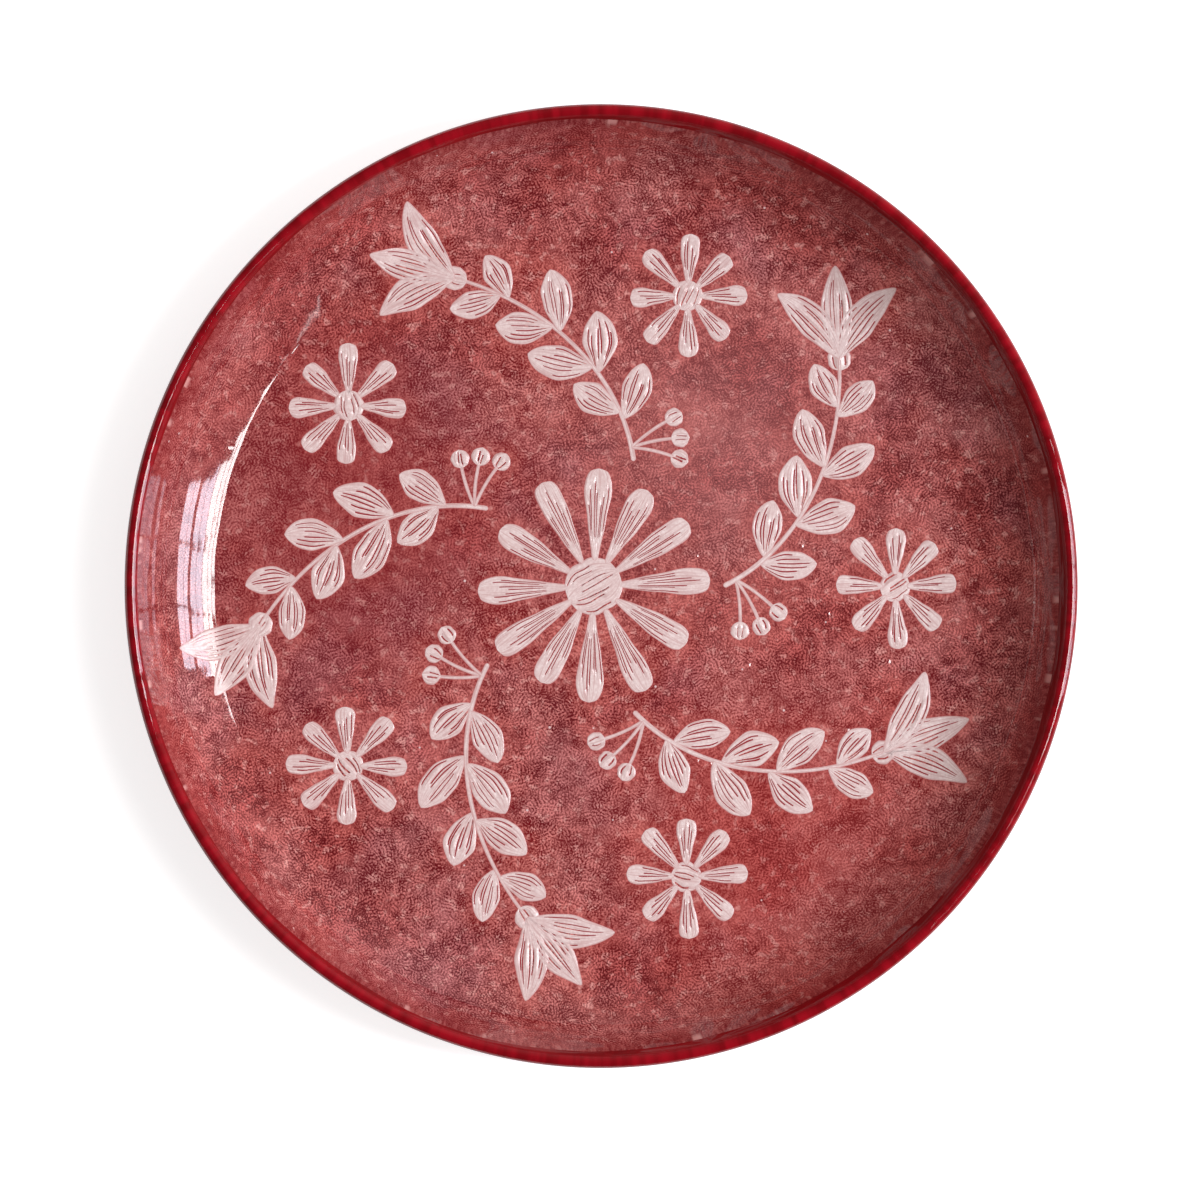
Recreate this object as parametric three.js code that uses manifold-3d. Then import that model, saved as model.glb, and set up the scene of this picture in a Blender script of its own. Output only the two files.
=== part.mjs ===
// A hand-finished stoneware coupe plate: one fired clay body, the glaze coats that cover it
// and the white slip ornament on its face. Units are millimetres, +Z is up, and the plate
// stands on its bare foot ring at z = 0 with its axis on Z.
import * as THREE from "three";
import { mergeVertices } from "three/addons/utils/BufferGeometryUtils.js";
import Module from "manifold-3d";

const wasm = await Module();
wasm.setup();

// Finished plate, over the glaze. The wall run is the level distance from the flat well to
// the rim, and the cove is the hollow curve that joins them.
const plateDiameter = 270;
const plateHeight = 28;
const wallRun = 29;
const coveRadius = 24.5;
const floorThickness = 5;
const lipThickness = 3.6;

// Foot ring, turned in one piece with the body, set in from the edge of the well
const footInset = 20;
const footWidth = 5;
const footHeight = 2.6;
const footChamfer = 0.8;

// Glaze coats. The band's two depths are measured along the wall from the lip's half round.
const faceCoat = 0.6;
const bandCoat = 0.6;
const backCoat = 0.5;
const bandDepthInside = 2;
const bandDepthOutside = 5.5;
const dryFootMargin = 1.2;
const bondGap = 0.06;
const coatGap = 0.1;

// White slip, standing on the face coat. A stroke starts a little inside the one it grows
// from, so that they join.
const slipThickness = 0.35;
const strokeOverlap = 1;

// Rosette in the middle of the well
const rosetteDiscDiameter = 16.4;
const rosettePetals = 12;
const rosettePetalLength = 24;
const rosettePetalWidth = 11;

// Daisies, set in from the edge of the well
const daisyInset = 20;
const daisyDiscDiameter = 8.8;
const daisyPetals = 8;
const daisyPetalLength = 12.6;
const daisyPetalWidth = 8;
const daisyClearance = 2;

// Sprigs that swirl from the rosette to the edge of the well. Each turns through a share of
// the pitch between two sprigs.
const sprigCount = 5;
const swirlShare = 0.59;
const rosetteClearance = 4.8;
const stemInset = 11;
const stemWidth = 1.5;
const stemTaper = 0.3;

// Leaves in pairs. Their places are shares of the stem, and their angles are in radians.
const leafPairs = 4;
const leafLength = 19;
const leafWidth = 9.5;
const leafAngle = 0.84;
const leafBend = 0.35;
const firstLeafPlace = 0.2;
const lastLeafPlace = 0.83;
const longestLeafPlace = 0.45;
const leafShrink = 0.6;
const leafStagger = 0.015;

// Tulips at the ends of the stems
const calyxDiameter = 7;
const tulipLength = 25;
const tulipWidth = 8.5;
const tulipAngle = 0.42;
const tulipBend = 0.6;

// Berries on stalks near the foot of each stem
const berriesPerSpray = 3;
const berryDiameter = 5.4;
const berryStalkLength = 13;
const berryPlace = 0.06;
const berryAngle = 1;
const berryFan = 0.42;
const berryBend = 0.3;

// How far hand work strays: a share of a length, and an angle in radians
const lengthDrift = 0.05;
const angleDrift = 0.06;

// Smoothness
const turnSegments = 52;
const coveSteps = 5;
const leafSteps = 5;
const discSteps = 4;
const stemSteps = 8;

const plateRadius = plateDiameter / 2;
const wellRadius = plateRadius - wallRun;
const footRadius = wellRadius - footInset;
const footInnerRadius = footRadius - footWidth;
const lipRadius = lipThickness / 2;
const floorHeight = footHeight + floorThickness;

const materials = {
  clay: new THREE.MeshStandardMaterial({ color: 0xc9b294, roughness: 0.85, metalness: 0 }),
  redGlaze: new THREE.MeshStandardMaterial({ color: 0xa24b4e, roughness: 0.12, metalness: 0 }),
  crimson: new THREE.MeshStandardMaterial({ color: 0x8f0f1f, roughness: 0.08, metalness: 0 }),
  slip: new THREE.MeshStandardMaterial({ color: 0xdcc8c6, roughness: 0.18, metalness: 0 }),
};

const plate = new THREE.Group();

function addPart(name, geometry, material) {
  const mesh = new THREE.Mesh(geometry, material);
  mesh.name = name;
  plate.add(mesh);
}

// The finished surface is a curve of skin points in the radius and height plane. Each has a
// direction that faces away from the clay, along which a coat's thickness is measured.
function skinPoint(x, z, outX, outZ) {
  return { at: new THREE.Vector2(x, z), out: new THREE.Vector2(outX, outZ) };
}

function onArc(centre, radius, angle, side) {
  const x = Math.cos(angle);
  const z = Math.sin(angle);
  return skinPoint(centre.x + radius * x, centre.y + radius * z, side * x, side * z);
}

function sunk(point, depth) {
  return point.at.clone().addScaledVector(point.out, -depth);
}

// Cuts a curve at a length from its start and gives the stretch before and the stretch after
function splitAt(curve, length) {
  let left = length;
  for (let i = 1; i < curve.length; i++) {
    const [from, to] = [curve[i - 1], curve[i]];
    const step = from.at.distanceTo(to.at);
    if (left < step) {
      const share = left / step;
      const cut = { at: from.at.clone().lerp(to.at, share), out: from.out.clone().lerp(to.out, share) };
      return [[...curve.slice(0, i), cut], [cut, ...curve.slice(i)]];
    }
    left -= step;
  }
  return [curve, curve.slice(-1)];
}

// The upper wall leaves the cove and runs straight into the round lip. The cove is as large
// as its size says, or as the wall has room for.
const lipCentre = new THREE.Vector2(plateRadius - lipRadius, plateHeight - lipRadius);
const wallWide = lipCentre.x - wellRadius;
const wallHigh = lipCentre.y - floorHeight;
const roomForCove = (wallWide ** 2 + wallHigh ** 2 - lipRadius ** 2) / (2 * (wallHigh + lipRadius));
const coveFit = Math.min(coveRadius, roomForCove);
const coveCentre = new THREE.Vector2(wellRadius, floorHeight + coveFit);
const coveToLip = lipCentre.clone().sub(coveCentre);
const wallSlope =
  Math.atan2(coveToLip.y, coveToLip.x) +
  Math.asin(Math.min(1, (coveFit + lipRadius) / coveToLip.length()));

const cove = [];
for (let i = 0; i <= coveSteps; i++) {
  cove.push(onArc(coveCentre, coveFit, (wallSlope * i) / coveSteps - Math.PI / 2, -1));
}
const eatingFace = [skinPoint(0, floorHeight, 0, 1), ...cove];

// The lip is a half round from the upper wall's face over its crown to the back. Its crown
// and its outermost point carry the plate's height and diameter.
const lipAngles = [wallSlope + Math.PI / 2, Math.PI / 2, Math.PI / 4, 0, wallSlope - Math.PI / 2];
const lip = lipAngles.map((angle) => onArc(lipCentre, lipRadius, angle, 1));

// The back of the wall follows the cove at a thickness that grows from the lip to the floor
const wallBack = cove.map((point, i) => {
  const thickness = THREE.MathUtils.lerp(floorThickness, lipThickness, i / cove.length);
  const at = sunk(point, thickness);
  return skinPoint(at.x, at.y, -point.out.x, -point.out.y);
});
wallBack.reverse();

// The coat turns down the side of the foot ring and stops above the table
const footSkin = footRadius + bondGap + backCoat;
const footOutside = [skinPoint(footSkin, footHeight, 1, -1), skinPoint(footSkin, dryFootMargin, 1, 0)];
const recessSkin = footInnerRadius - bondGap - backCoat;
const footInside = [skinPoint(recessSkin, dryFootMargin, -1, 0), skinPoint(recessSkin, footHeight, -1, -1)];

const lipInwards = [lip[0], ...eatingFace.toReversed()];
const lipOutwards = [lip.at(-1), ...wallBack, ...footOutside];
const bandInside = splitAt(lipInwards, bandDepthInside)[0].toReversed();
const bandOutside = splitAt(lipOutwards, bandDepthOutside)[0];

const faceSkin = splitAt(lipInwards, bandDepthInside + coatGap)[1].toReversed();
const bandSkin = [...bandInside, ...lip.slice(1, -1), ...bandOutside];
const backSkin = splitAt(lipOutwards, bandDepthOutside + coatGap)[1];
const baseSkin = [...footInside, skinPoint(0, footHeight, 0, -1)];

// Turns a profile of radius and height, listed clockwise from its top, about the plate's axis
function turned(profile) {
  const geometry = new THREE.LatheGeometry([...profile, profile[0]].reverse(), turnSegments);
  return geometry.rotateX(Math.PI / 2);
}

function coat(skin, thickness) {
  const outside = skin.map((point) => sunk(point, 0));
  const inside = skin.map((point) => sunk(point, thickness));
  return turned([...outside, ...inside.reverse()]);
}

// The clay body lies under every coat, and its foot ring is bare
function bed(skin, thickness) {
  return skin.map((point) => sunk(point, thickness + bondGap));
}

const bareFoot = [
  new THREE.Vector2(footRadius, footChamfer),
  new THREE.Vector2(footRadius - footChamfer, 0),
  new THREE.Vector2(footInnerRadius + footChamfer, 0),
  new THREE.Vector2(footInnerRadius, footChamfer),
];
const clayProfile = [
  ...bed(faceSkin, faceCoat),
  ...bed(bandSkin, bandCoat),
  ...bed(backSkin, backCoat).slice(0, -1),
  ...bareFoot,
  ...bed(baseSkin, backCoat).slice(1),
];

addPart("clay_body", turned(clayProfile), materials.clay);
addPart("face_glaze", coat(faceSkin, faceCoat), materials.redGlaze);
addPart("rim_band", coat(bandSkin, bandCoat), materials.crimson);
addPart("back_glaze", coat(backSkin, backCoat), materials.crimson);
addPart("base_glaze", coat(baseSkin, backCoat), materials.crimson);

// The ornament is drawn flat, seen from above, as strokes along a middle line. A line gives
// the place and heading at t from 0 to 1, and a width rule gives the half width there.
function polar(radius, angle) {
  return new THREE.Vector2(radius * Math.cos(angle), radius * Math.sin(angle));
}

function arcLine(start, heading, length, bend = 0) {
  return (t) => {
    const halfTurn = (bend * t) / 2;
    const chord = length * t * (halfTurn ? Math.sin(halfTurn) / halfTurn : 1);
    const at = polar(chord, heading + halfTurn).add(start);
    return { at, heading: heading + bend * t };
  };
}

// A disc is a stroke along its own diameter
function discLine(centre, diameter, heading = 0) {
  return arcLine(centre.clone().sub(polar(diameter / 2, heading)), heading, diameter);
}

// Along a stem the angle about the plate grows with the distance from its middle
const pitch = (2 * Math.PI) / sprigCount;
const swirl = swirlShare * pitch;
const stemStart = rosetteDiscDiameter / 2 + rosettePetalLength + rosetteClearance;
const stemReach = wellRadius - stemInset - stemStart;

function stemLine(startAngle) {
  return (t) => {
    const radius = stemStart + stemReach * t;
    const angle = startAngle + swirl * t;
    return { at: polar(radius, angle), heading: angle + Math.atan2(radius * swirl, stemReach) };
  };
}

const stemRule = (t) => (stemWidth / 2) * (1 - stemTaper * t);
const stalkRule = () => stemWidth / 3;
const discRule = (diameter) => (t) => (diameter / 2) * Math.sqrt(4 * t * (1 - t));
const petalRule = (width) => (t) => stemWidth / 2 + ((width - stemWidth) / 2) * t * Math.sqrt(1 - t ** 5);
const leafRule = (width) => (t) => stemWidth / 4 + (width / 2) * Math.sin(Math.PI * t ** 1.2) ** 0.8;
const tulipRule = (width) => (t) => stemWidth / 3 + (width / 2) * Math.sin(Math.PI * t);

// The ornament is drawn by hand, so no two copies of a motif are quite alike
const stray = (seed) => Math.sin(7.3 * seed);
const strayLength = (length, seed) => length * (1 + lengthDrift * stray(seed));
const strayAngle = (angle, seed) => angle + angleDrift * stray(seed);

// The outline of a stroke as a block that stands through the whole height of the plate
function strokeBlock(line, rule, steps) {
  const left = [];
  const right = [];
  for (let i = 0; i <= steps; i++) {
    const t = (1 - Math.cos((Math.PI * i) / steps)) / 2;
    const { at, heading } = line(t);
    left.push(polar(rule(t), heading + Math.PI / 2).add(at));
    right.unshift(polar(rule(t), heading - Math.PI / 2).add(at));
  }
  const shape = new THREE.Shape([...left, ...right]);
  return solidOf(new THREE.ExtrudeGeometry(shape, { depth: plateHeight, bevelEnabled: false }));
}

function solidOf(geometry) {
  const bare = geometry.clone().deleteAttribute("normal").deleteAttribute("uv");
  const merged = mergeVertices(bare, 1e-4);
  return new wasm.Manifold(
    new wasm.Mesh({
      numProp: 3,
      vertProperties: merged.attributes.position.array,
      triVerts: new Uint32Array(merged.index.array),
    }),
  );
}

function geometryOf(solid) {
  const { vertProperties, triVerts } = solid.getMesh();
  const geometry = new THREE.BufferGeometry();
  geometry.setAttribute("position", new THREE.BufferAttribute(vertProperties, 3));
  geometry.setIndex(new THREE.BufferAttribute(triVerts, 1));
  geometry.computeVertexNormals();
  return geometry;
}

// The slip lies in a thin layer that follows the face up into the cove
const slipUnder = eatingFace.map((point) => sunk(point, -bondGap));
const slipOver = eatingFace.map((point) => sunk(point, -bondGap - slipThickness));
const slipLayer = solidOf(turned([...slipOver, ...slipUnder.reverse()]));

function addSlip(name, blocks, keepClear = []) {
  const whole = blocks.reduce((sum, block) => sum.add(block));
  const kept = keepClear.reduce((rest, block) => rest.subtract(block), whole);
  addPart(name, geometryOf(kept.intersect(slipLayer)), materials.slip);
}

// A flower seen from its front: a ring of petals round a disc
function flowerBlocks(centre, discDiameter, petals, petalLength, petalWidth, seed) {
  const disc = discLine(centre, discDiameter);
  const blocks = [strokeBlock(disc, discRule(discDiameter), 2 * discSteps)];
  for (let i = 0; i < petals; i++) {
    const angle = strayAngle((2 * Math.PI * i) / petals, seed + i);
    const root = polar(discDiameter / 2 - strokeOverlap, angle).add(centre);
    const length = strayLength(petalLength + strokeOverlap, seed + 2 * i);
    blocks.push(strokeBlock(arcLine(root, angle, length), petalRule(petalWidth), leafSteps));
  }
  return blocks;
}

// Leaves stand in pairs along a stem and curl towards its end
function leafBlocks(stem, seed) {
  const blocks = [];
  for (let pair = 0; pair < leafPairs; pair++) {
    const place = THREE.MathUtils.lerp(firstLeafPlace, lastLeafPlace, pair / (leafPairs - 1));
    const size = 1 - leafShrink * Math.abs(place - longestLeafPlace);
    for (const side of [-1, 1]) {
      const { at, heading } = stem(place + leafStagger * side);
      const own = seed + 3 * pair + side;
      const aim = heading + side * strayAngle(leafAngle, own);
      const line = arcLine(at, aim, strayLength(leafLength * size, own), -leafBend * side);
      blocks.push(strokeBlock(line, leafRule(leafWidth * size), leafSteps));
    }
  }
  return blocks;
}

// A tulip fans three pointed petals out of a round calyx at the end of a stem
function tulipBlocks(stem, seed) {
  const { at, heading } = stem(1);
  const calyx = discLine(at, calyxDiameter, heading);
  const blocks = [strokeBlock(calyx, discRule(calyxDiameter), discSteps)];
  for (const side of [-1, 0, 1]) {
    const length = strayLength(tulipLength, seed + side);
    const line = arcLine(at, heading + side * tulipAngle, length, tulipBend * side);
    blocks.push(strokeBlock(line, tulipRule(tulipWidth), leafSteps));
  }
  return blocks;
}

// Berries on short stalks fan out beside the foot of a stem
function berryBlocks(stem, seed) {
  const { at, heading } = stem(berryPlace);
  const blocks = [];
  for (let i = 0; i < berriesPerSpray; i++) {
    const length = strayLength(berryStalkLength, seed + i);
    const stalk = arcLine(at, heading - berryAngle - berryFan * i, length, -berryBend);
    const tip = stalk(1 - strokeOverlap / length);
    const berry = arcLine(tip.at, tip.heading, berryDiameter);
    blocks.push(strokeBlock(stalk, stalkRule, 2));
    blocks.push(strokeBlock(berry, discRule(berryDiameter), discSteps));
  }
  return blocks;
}

const middle = new THREE.Vector2();
const rosette = flowerBlocks(
  middle,
  rosetteDiscDiameter,
  rosettePetals,
  rosettePetalLength,
  rosettePetalWidth,
  1,
);
addSlip("rosette_slip", rosette);

// Each daisy stands midway between two stems. Glaze shows all round it, so a sprig that grew
// into its circle would stop there.
const daisyReach = daisyDiscDiameter / 2 + (daisyPetalLength + strokeOverlap) * (1 + lengthDrift);
const daisyCircle = 2 * (daisyReach + daisyClearance);
const daisyRadius = wellRadius - daisyInset;
const stemTurnAtDaisy = (swirl * (daisyRadius - stemStart)) / stemReach;
const daisyCentres = Array.from({ length: sprigCount }, (_, i) =>
  polar(daisyRadius, pitch * (i - 0.5) + stemTurnAtDaisy),
);
const daisyRounds = daisyCentres.map((centre) =>
  strokeBlock(discLine(centre, daisyCircle), discRule(daisyCircle), 2 * discSteps),
);

for (let i = 0; i < sprigCount; i++) {
  const seed = 20 * (i + 1);
  const stem = stemLine(pitch * i);
  const sprig = [
    strokeBlock(stem, stemRule, stemSteps),
    ...leafBlocks(stem, seed),
    ...tulipBlocks(stem, seed),
    ...berryBlocks(stem, seed),
  ];
  addSlip("sprig_slip_" + (i + 1), sprig, daisyRounds);
  const daisy = flowerBlocks(
    daisyCentres[i],
    daisyDiscDiameter,
    daisyPetals,
    daisyPetalLength,
    daisyPetalWidth,
    seed,
  );
  addSlip("daisy_slip_" + (i + 1), daisy);
}

export default plate;
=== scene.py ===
import math

import bpy
import numpy as np
from mathutils import Matrix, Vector
from mathutils.kdtree import KDTree


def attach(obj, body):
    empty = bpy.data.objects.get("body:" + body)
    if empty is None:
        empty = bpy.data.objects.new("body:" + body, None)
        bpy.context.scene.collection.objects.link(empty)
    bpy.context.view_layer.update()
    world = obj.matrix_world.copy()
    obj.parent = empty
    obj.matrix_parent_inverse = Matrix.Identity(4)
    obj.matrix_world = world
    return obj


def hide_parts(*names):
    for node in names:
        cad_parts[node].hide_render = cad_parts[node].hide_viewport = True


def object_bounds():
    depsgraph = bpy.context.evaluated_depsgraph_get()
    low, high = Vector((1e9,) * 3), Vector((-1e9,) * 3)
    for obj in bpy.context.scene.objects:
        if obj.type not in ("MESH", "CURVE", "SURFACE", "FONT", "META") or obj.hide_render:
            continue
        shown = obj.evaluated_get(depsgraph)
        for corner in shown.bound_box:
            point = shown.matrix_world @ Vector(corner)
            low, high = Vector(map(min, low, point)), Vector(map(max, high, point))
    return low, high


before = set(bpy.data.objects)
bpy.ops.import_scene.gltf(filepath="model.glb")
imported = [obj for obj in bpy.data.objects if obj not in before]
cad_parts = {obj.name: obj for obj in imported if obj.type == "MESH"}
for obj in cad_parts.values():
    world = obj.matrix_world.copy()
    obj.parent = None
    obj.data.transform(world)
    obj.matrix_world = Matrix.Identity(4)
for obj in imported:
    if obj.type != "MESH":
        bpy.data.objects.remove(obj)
cad_low, cad_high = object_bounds()


# Stoneware body
# One turned and fired piece of buff stoneware with the floor, the cove, the straight upper
# wall, the round lip and the foot ring. Glaze covers all of it but the ring that it stands
# on, so the clay and its iron specks show only there.
plate_radius = cad_high.x
plate_height = cad_high.z
wall_run = 0.029
cove_radius = 0.0245
floor_thickness = 0.005
lip_thickness = 0.0036
foot_inset = 0.020
foot_width = 0.005
foot_height = 0.0026
foot_edge_radius = 0.0008
dry_foot_margin = 0.0012
face_coat = 0.0006
back_coat = 0.0005
bond_gap = 0.00006
merge_distance = 1e-6
crease_angle = math.radians(50)
body_segments = 192

well_radius = plate_radius - wall_run
floor_height = foot_height + floor_thickness
lip_radius = lip_thickness / 2
foot_radius = well_radius - foot_inset
foot_inner_radius = foot_radius - foot_width

# The cove's arc and the lip's half round lie on opposite sides of one straight wall
cove_centre = np.array([well_radius, floor_height + cove_radius])
lip_centre = np.array([plate_radius - lip_radius, plate_height - lip_radius])
cove_to_lip = lip_centre - cove_centre
wall_slope = math.atan2(cove_to_lip[1], cove_to_lip[0]) + math.asin(
    (cove_radius + lip_radius) / np.linalg.norm(cove_to_lip)
)


def round_skin(centre, radius, first, last, steps, side=1):
    """Rows of radius, height and outward direction along a round stretch of the surface."""
    angles = np.linspace(first, last, steps + 1)
    away = np.column_stack([np.cos(angles), np.sin(angles)])
    return np.hstack([centre + radius * away, side * away])


def straight_skin(first, last, steps):
    return np.linspace(first, last, steps + 1)


def below(skin, depth):
    """Where the surface lies once it is moved into the clay."""
    return skin[:, :2] - skin[:, 2:] * np.reshape(depth, (-1, 1))


well = straight_skin([0, floor_height, 0, 1], [well_radius, floor_height, 0, 1], steps=96)
cove = round_skin(
    cove_centre, cove_radius, -math.pi / 2, wall_slope - math.pi / 2, steps=30, side=-1
)
lip = round_skin(
    lip_centre, lip_radius, wall_slope + math.pi / 2, wall_slope - math.pi / 2, steps=16
)
upper_wall = straight_skin(cove[-1], lip[0], steps=14)
face_skin = np.vstack([well[:-1], cove[:-1], upper_wall])

# The wall grows thicker from the lip down to the floor
wall_length = cove_radius * wall_slope + np.linalg.norm(lip[0, :2] - cove[-1, :2])
thinned = np.linspace(0, cove_radius * wall_slope / wall_length, len(cove))
wall_thickness = floor_thickness + (lip_thickness - floor_thickness) * thinned
wall_back = np.hstack([below(cove, wall_thickness), -cove[:, 2:]])[::-1]

# A soft fillet carries the back into the side of the foot ring, inside and out
foot_fillet = 0.0009
foot_skin = foot_radius + bond_gap + back_coat
recess_skin = foot_inner_radius - bond_gap - back_coat
fillet_height = foot_height - foot_fillet
outer_fillet = round_skin(
    [foot_skin + foot_fillet, fillet_height], foot_fillet, math.pi / 2, math.pi,
    steps=6, side=-1,
)
inner_fillet = round_skin(
    [recess_skin - foot_fillet, fillet_height], foot_fillet, 0, math.pi / 2,
    steps=6, side=-1,
)
back_skin = np.vstack([
    straight_skin(lip[-1], wall_back[0], steps=8),
    wall_back[1:],
    straight_skin(wall_back[-1], outer_fillet[0], steps=8)[1:],
    outer_fillet[1:],
    [foot_skin, dry_foot_margin, 1, 0],
])
recess = np.vstack([
    [recess_skin, dry_foot_margin, -1, 0],
    inner_fillet,
    straight_skin(inner_fillet[-1], [0, foot_height, 0, -1], steps=12)[1:],
])


def turn_on_wheel(name, profile, segments):
    """Bends a ring of vertices to a closed profile and spins it about the plate's axis."""
    bpy.ops.object.select_all(action="DESELECT")
    bpy.ops.mesh.primitive_circle_add(vertices=len(profile), radius=plate_radius)
    piece = bpy.context.object
    piece.name = name
    for vertex, (radius, height) in zip(piece.data.vertices, profile):
        vertex.co = (radius, 0, height)
    bpy.ops.object.mode_set(mode="EDIT")
    bpy.ops.mesh.select_all(action="SELECT")
    bpy.ops.mesh.spin(steps=segments, angle=2 * math.pi, center=(0, 0, 0), axis=(0, 0, 1))
    bpy.ops.mesh.select_all(action="SELECT")
    bpy.ops.mesh.remove_doubles(threshold=merge_distance)
    bpy.ops.mesh.delete_loose()
    bpy.ops.mesh.select_all(action="SELECT")
    bpy.ops.mesh.normals_make_consistent(inside=False)
    bpy.ops.object.mode_set(mode="OBJECT")
    bpy.ops.object.shade_smooth_by_angle(angle=crease_angle)
    return piece


ring_outside = round_skin(
    [foot_radius - foot_edge_radius, foot_edge_radius],
    foot_edge_radius, 0, -math.pi / 2, steps=5,
)
ring_inside = round_skin(
    [foot_inner_radius + foot_edge_radius, foot_edge_radius],
    foot_edge_radius, -math.pi / 2, -math.pi, steps=5,
)

# Under its coats the clay needs only some of the rows
clay_profile = np.vstack([
    below(face_skin[::6], face_coat + bond_gap),
    below(lip, face_coat + bond_gap),
    below(back_skin[1::2], back_coat + bond_gap),
    ring_outside[:, :2],
    ring_inside[:, :2],
    below(recess, back_coat + bond_gap),
])
body = turn_on_wheel("stoneware_body", clay_profile, body_segments)


def add_node(tree, kind, inputs=(), **settings):
    """Adds a node. Each input is a plain value or the output that feeds it."""
    made = tree.nodes.new(kind)
    for name, value in settings.items():
        setattr(made, name, value)
    for name, value in dict(inputs).items():
        if isinstance(value, bpy.types.NodeSocket):
            tree.links.new(value, made.inputs[name])
        else:
            made.inputs[name].default_value = value
    return made


def colour(red, green, blue):
    """A colour seen on the plate, from 0 to 255, as the light that the shader works in."""
    seen = np.array([red, green, blue]) / 255
    light = np.where(seen <= 0.04045, seen / 12.92, ((seen + 0.055) / 1.055) ** 2.4)
    return (*light, 1)


def mixed(tree, share, first, second):
    node = add_node(tree, "ShaderNodeMix", {0: share, 6: first, 7: second}, data_type="RGBA")
    return node.outputs[2]


def ranged(tree, value, low, high, floor=0.0, top=1.0):
    """Eases from floor to top as the value goes from low to high, and stays there."""
    limits = {"Value": value, "From Min": low, "From Max": high, "To Min": floor, "To Max": top}
    return add_node(tree, "ShaderNodeMapRange", limits, interpolation_type="SMOOTHSTEP").outputs[0]


def counted(tree, operation, first, second=0.0):
    return add_node(tree, "ShaderNodeMath", {0: first, 1: second}, operation=operation).outputs[0]


def noise(tree, vector, scale, detail, coloured=False, **more):
    """Cloudy noise whose largest clouds are about 1 / scale metres across."""
    inputs = {"Vector": vector, "Scale": scale, "Detail": detail, **more}
    return add_node(tree, "ShaderNodeTexNoise", inputs).outputs["Color" if coloured else 0]


def spots(tree, vector, scale, low, high, reach, soft):
    """Round spots about 1 / scale metres apart. Each has a chance of its own, and grows from
    nothing to its full reach, a share of that spacing, as the chance goes from low to high."""
    cell = add_node(tree, "ShaderNodeTexVoronoi", {"Vector": vector, "Scale": scale})
    chance = add_node(tree, "ShaderNodeSeparateColor", {"Color": cell.outputs["Color"]}).outputs[0]
    own_reach = ranged(tree, chance, low, high, 0, reach)
    return ranged(tree, counted(tree, "SUBTRACT", own_reach, cell.outputs["Distance"]), 0, soft)


def new_finish(name, roughness, ior=1.5):
    """A material whose constant gloss is set on the shader itself."""
    material = bpy.data.materials.new(name)
    material.use_nodes = True
    shader = material.node_tree.nodes["Principled BSDF"]
    shader.inputs["Roughness"].default_value = roughness
    shader.inputs["IOR"].default_value = ior
    return material, material.node_tree, shader


fired_clay, tree, shader = new_finish("fired_clay", 0.86)
place = add_node(tree, "ShaderNodeTexCoord").outputs["Object"]
cloud = noise(tree, place, 60, 6)
grog = noise(tree, place, 1900, 3)
iron = spots(tree, place, 520, low=0.62, high=1.0, reach=0.33, soft=0.06)
buff = mixed(tree, cloud, colour(189, 160, 126), colour(214, 192, 160))
sandy = mixed(tree, ranged(tree, grog, 0.35, 0.7), colour(176, 146, 112), buff)
tree.links.new(mixed(tree, iron, sandy, colour(74, 44, 28)), shader.inputs["Base Color"])
grain = add_node(tree, "ShaderNodeBump", {"Height": grog, "Distance": 0.00012, "Strength": 0.8})
tree.links.new(grain.outputs[0], shader.inputs["Normal"])
body.data.materials.append(fired_clay)
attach(body, "root")
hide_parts("clay_body")


# Glaze on the back
# A glossy crimson coat runs from under the rim band down the back of the wall to the side of
# the foot ring, and another lines the recess. Each was poured over the bisque and wiped off
# the ring, so it ends in a soft roll above the table.
band_depth_outside = 0.0055
band_lap = 0.0006
sunk_lap = 0.00006
roll_radius = back_coat / 2
thinning_height = 0.0014
coat_segments = 288


def along(skin):
    """How far along the surface each row lies from the first."""
    return np.concatenate([[0], np.cumsum(np.linalg.norm(np.diff(skin[:, :2], axis=0), axis=1))])


def cut_skin(skin, start, end):
    """The stretch of a surface between two distances from its first row."""
    reach = along(skin)
    inside = (reach > start) & (reach < end)
    rows = np.concatenate([[start], reach[inside], [min(end, reach[-1])]])
    return np.column_stack([np.interp(rows, reach, skin[:, i]) for i in range(4)])


outer_roll = round_skin(
    [foot_skin - roll_radius, dry_foot_margin], roll_radius, 0, -math.pi / 2, steps=4
)
back_start = cut_skin(back_skin, band_depth_outside - band_lap, math.inf)
sunk_under_band = np.where(along(back_start) < band_lap, sunk_lap, 0)
back_profile = np.vstack([
    below(back_start, sunk_under_band),
    outer_roll[1:, :2],
    below(back_start, back_coat)[::-1],
])
back = turn_on_wheel("back_glaze_coat", back_profile, coat_segments)
inner_roll = round_skin(
    [recess_skin + roll_radius, dry_foot_margin], roll_radius, -math.pi / 2, -math.pi, steps=4
)
recess_profile = np.vstack([
    inner_roll[:, :2], below(recess, 0)[1:], below(recess, back_coat)[::-1]
])
base = turn_on_wheel("base_glaze_coat", recess_profile, coat_segments)


def counted_vector(tree, operation, first, second=(0, 0, 0)):
    node = add_node(tree, "ShaderNodeVectorMath", {0: first, 1: second}, operation=operation)
    return node.outputs[0]


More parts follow.
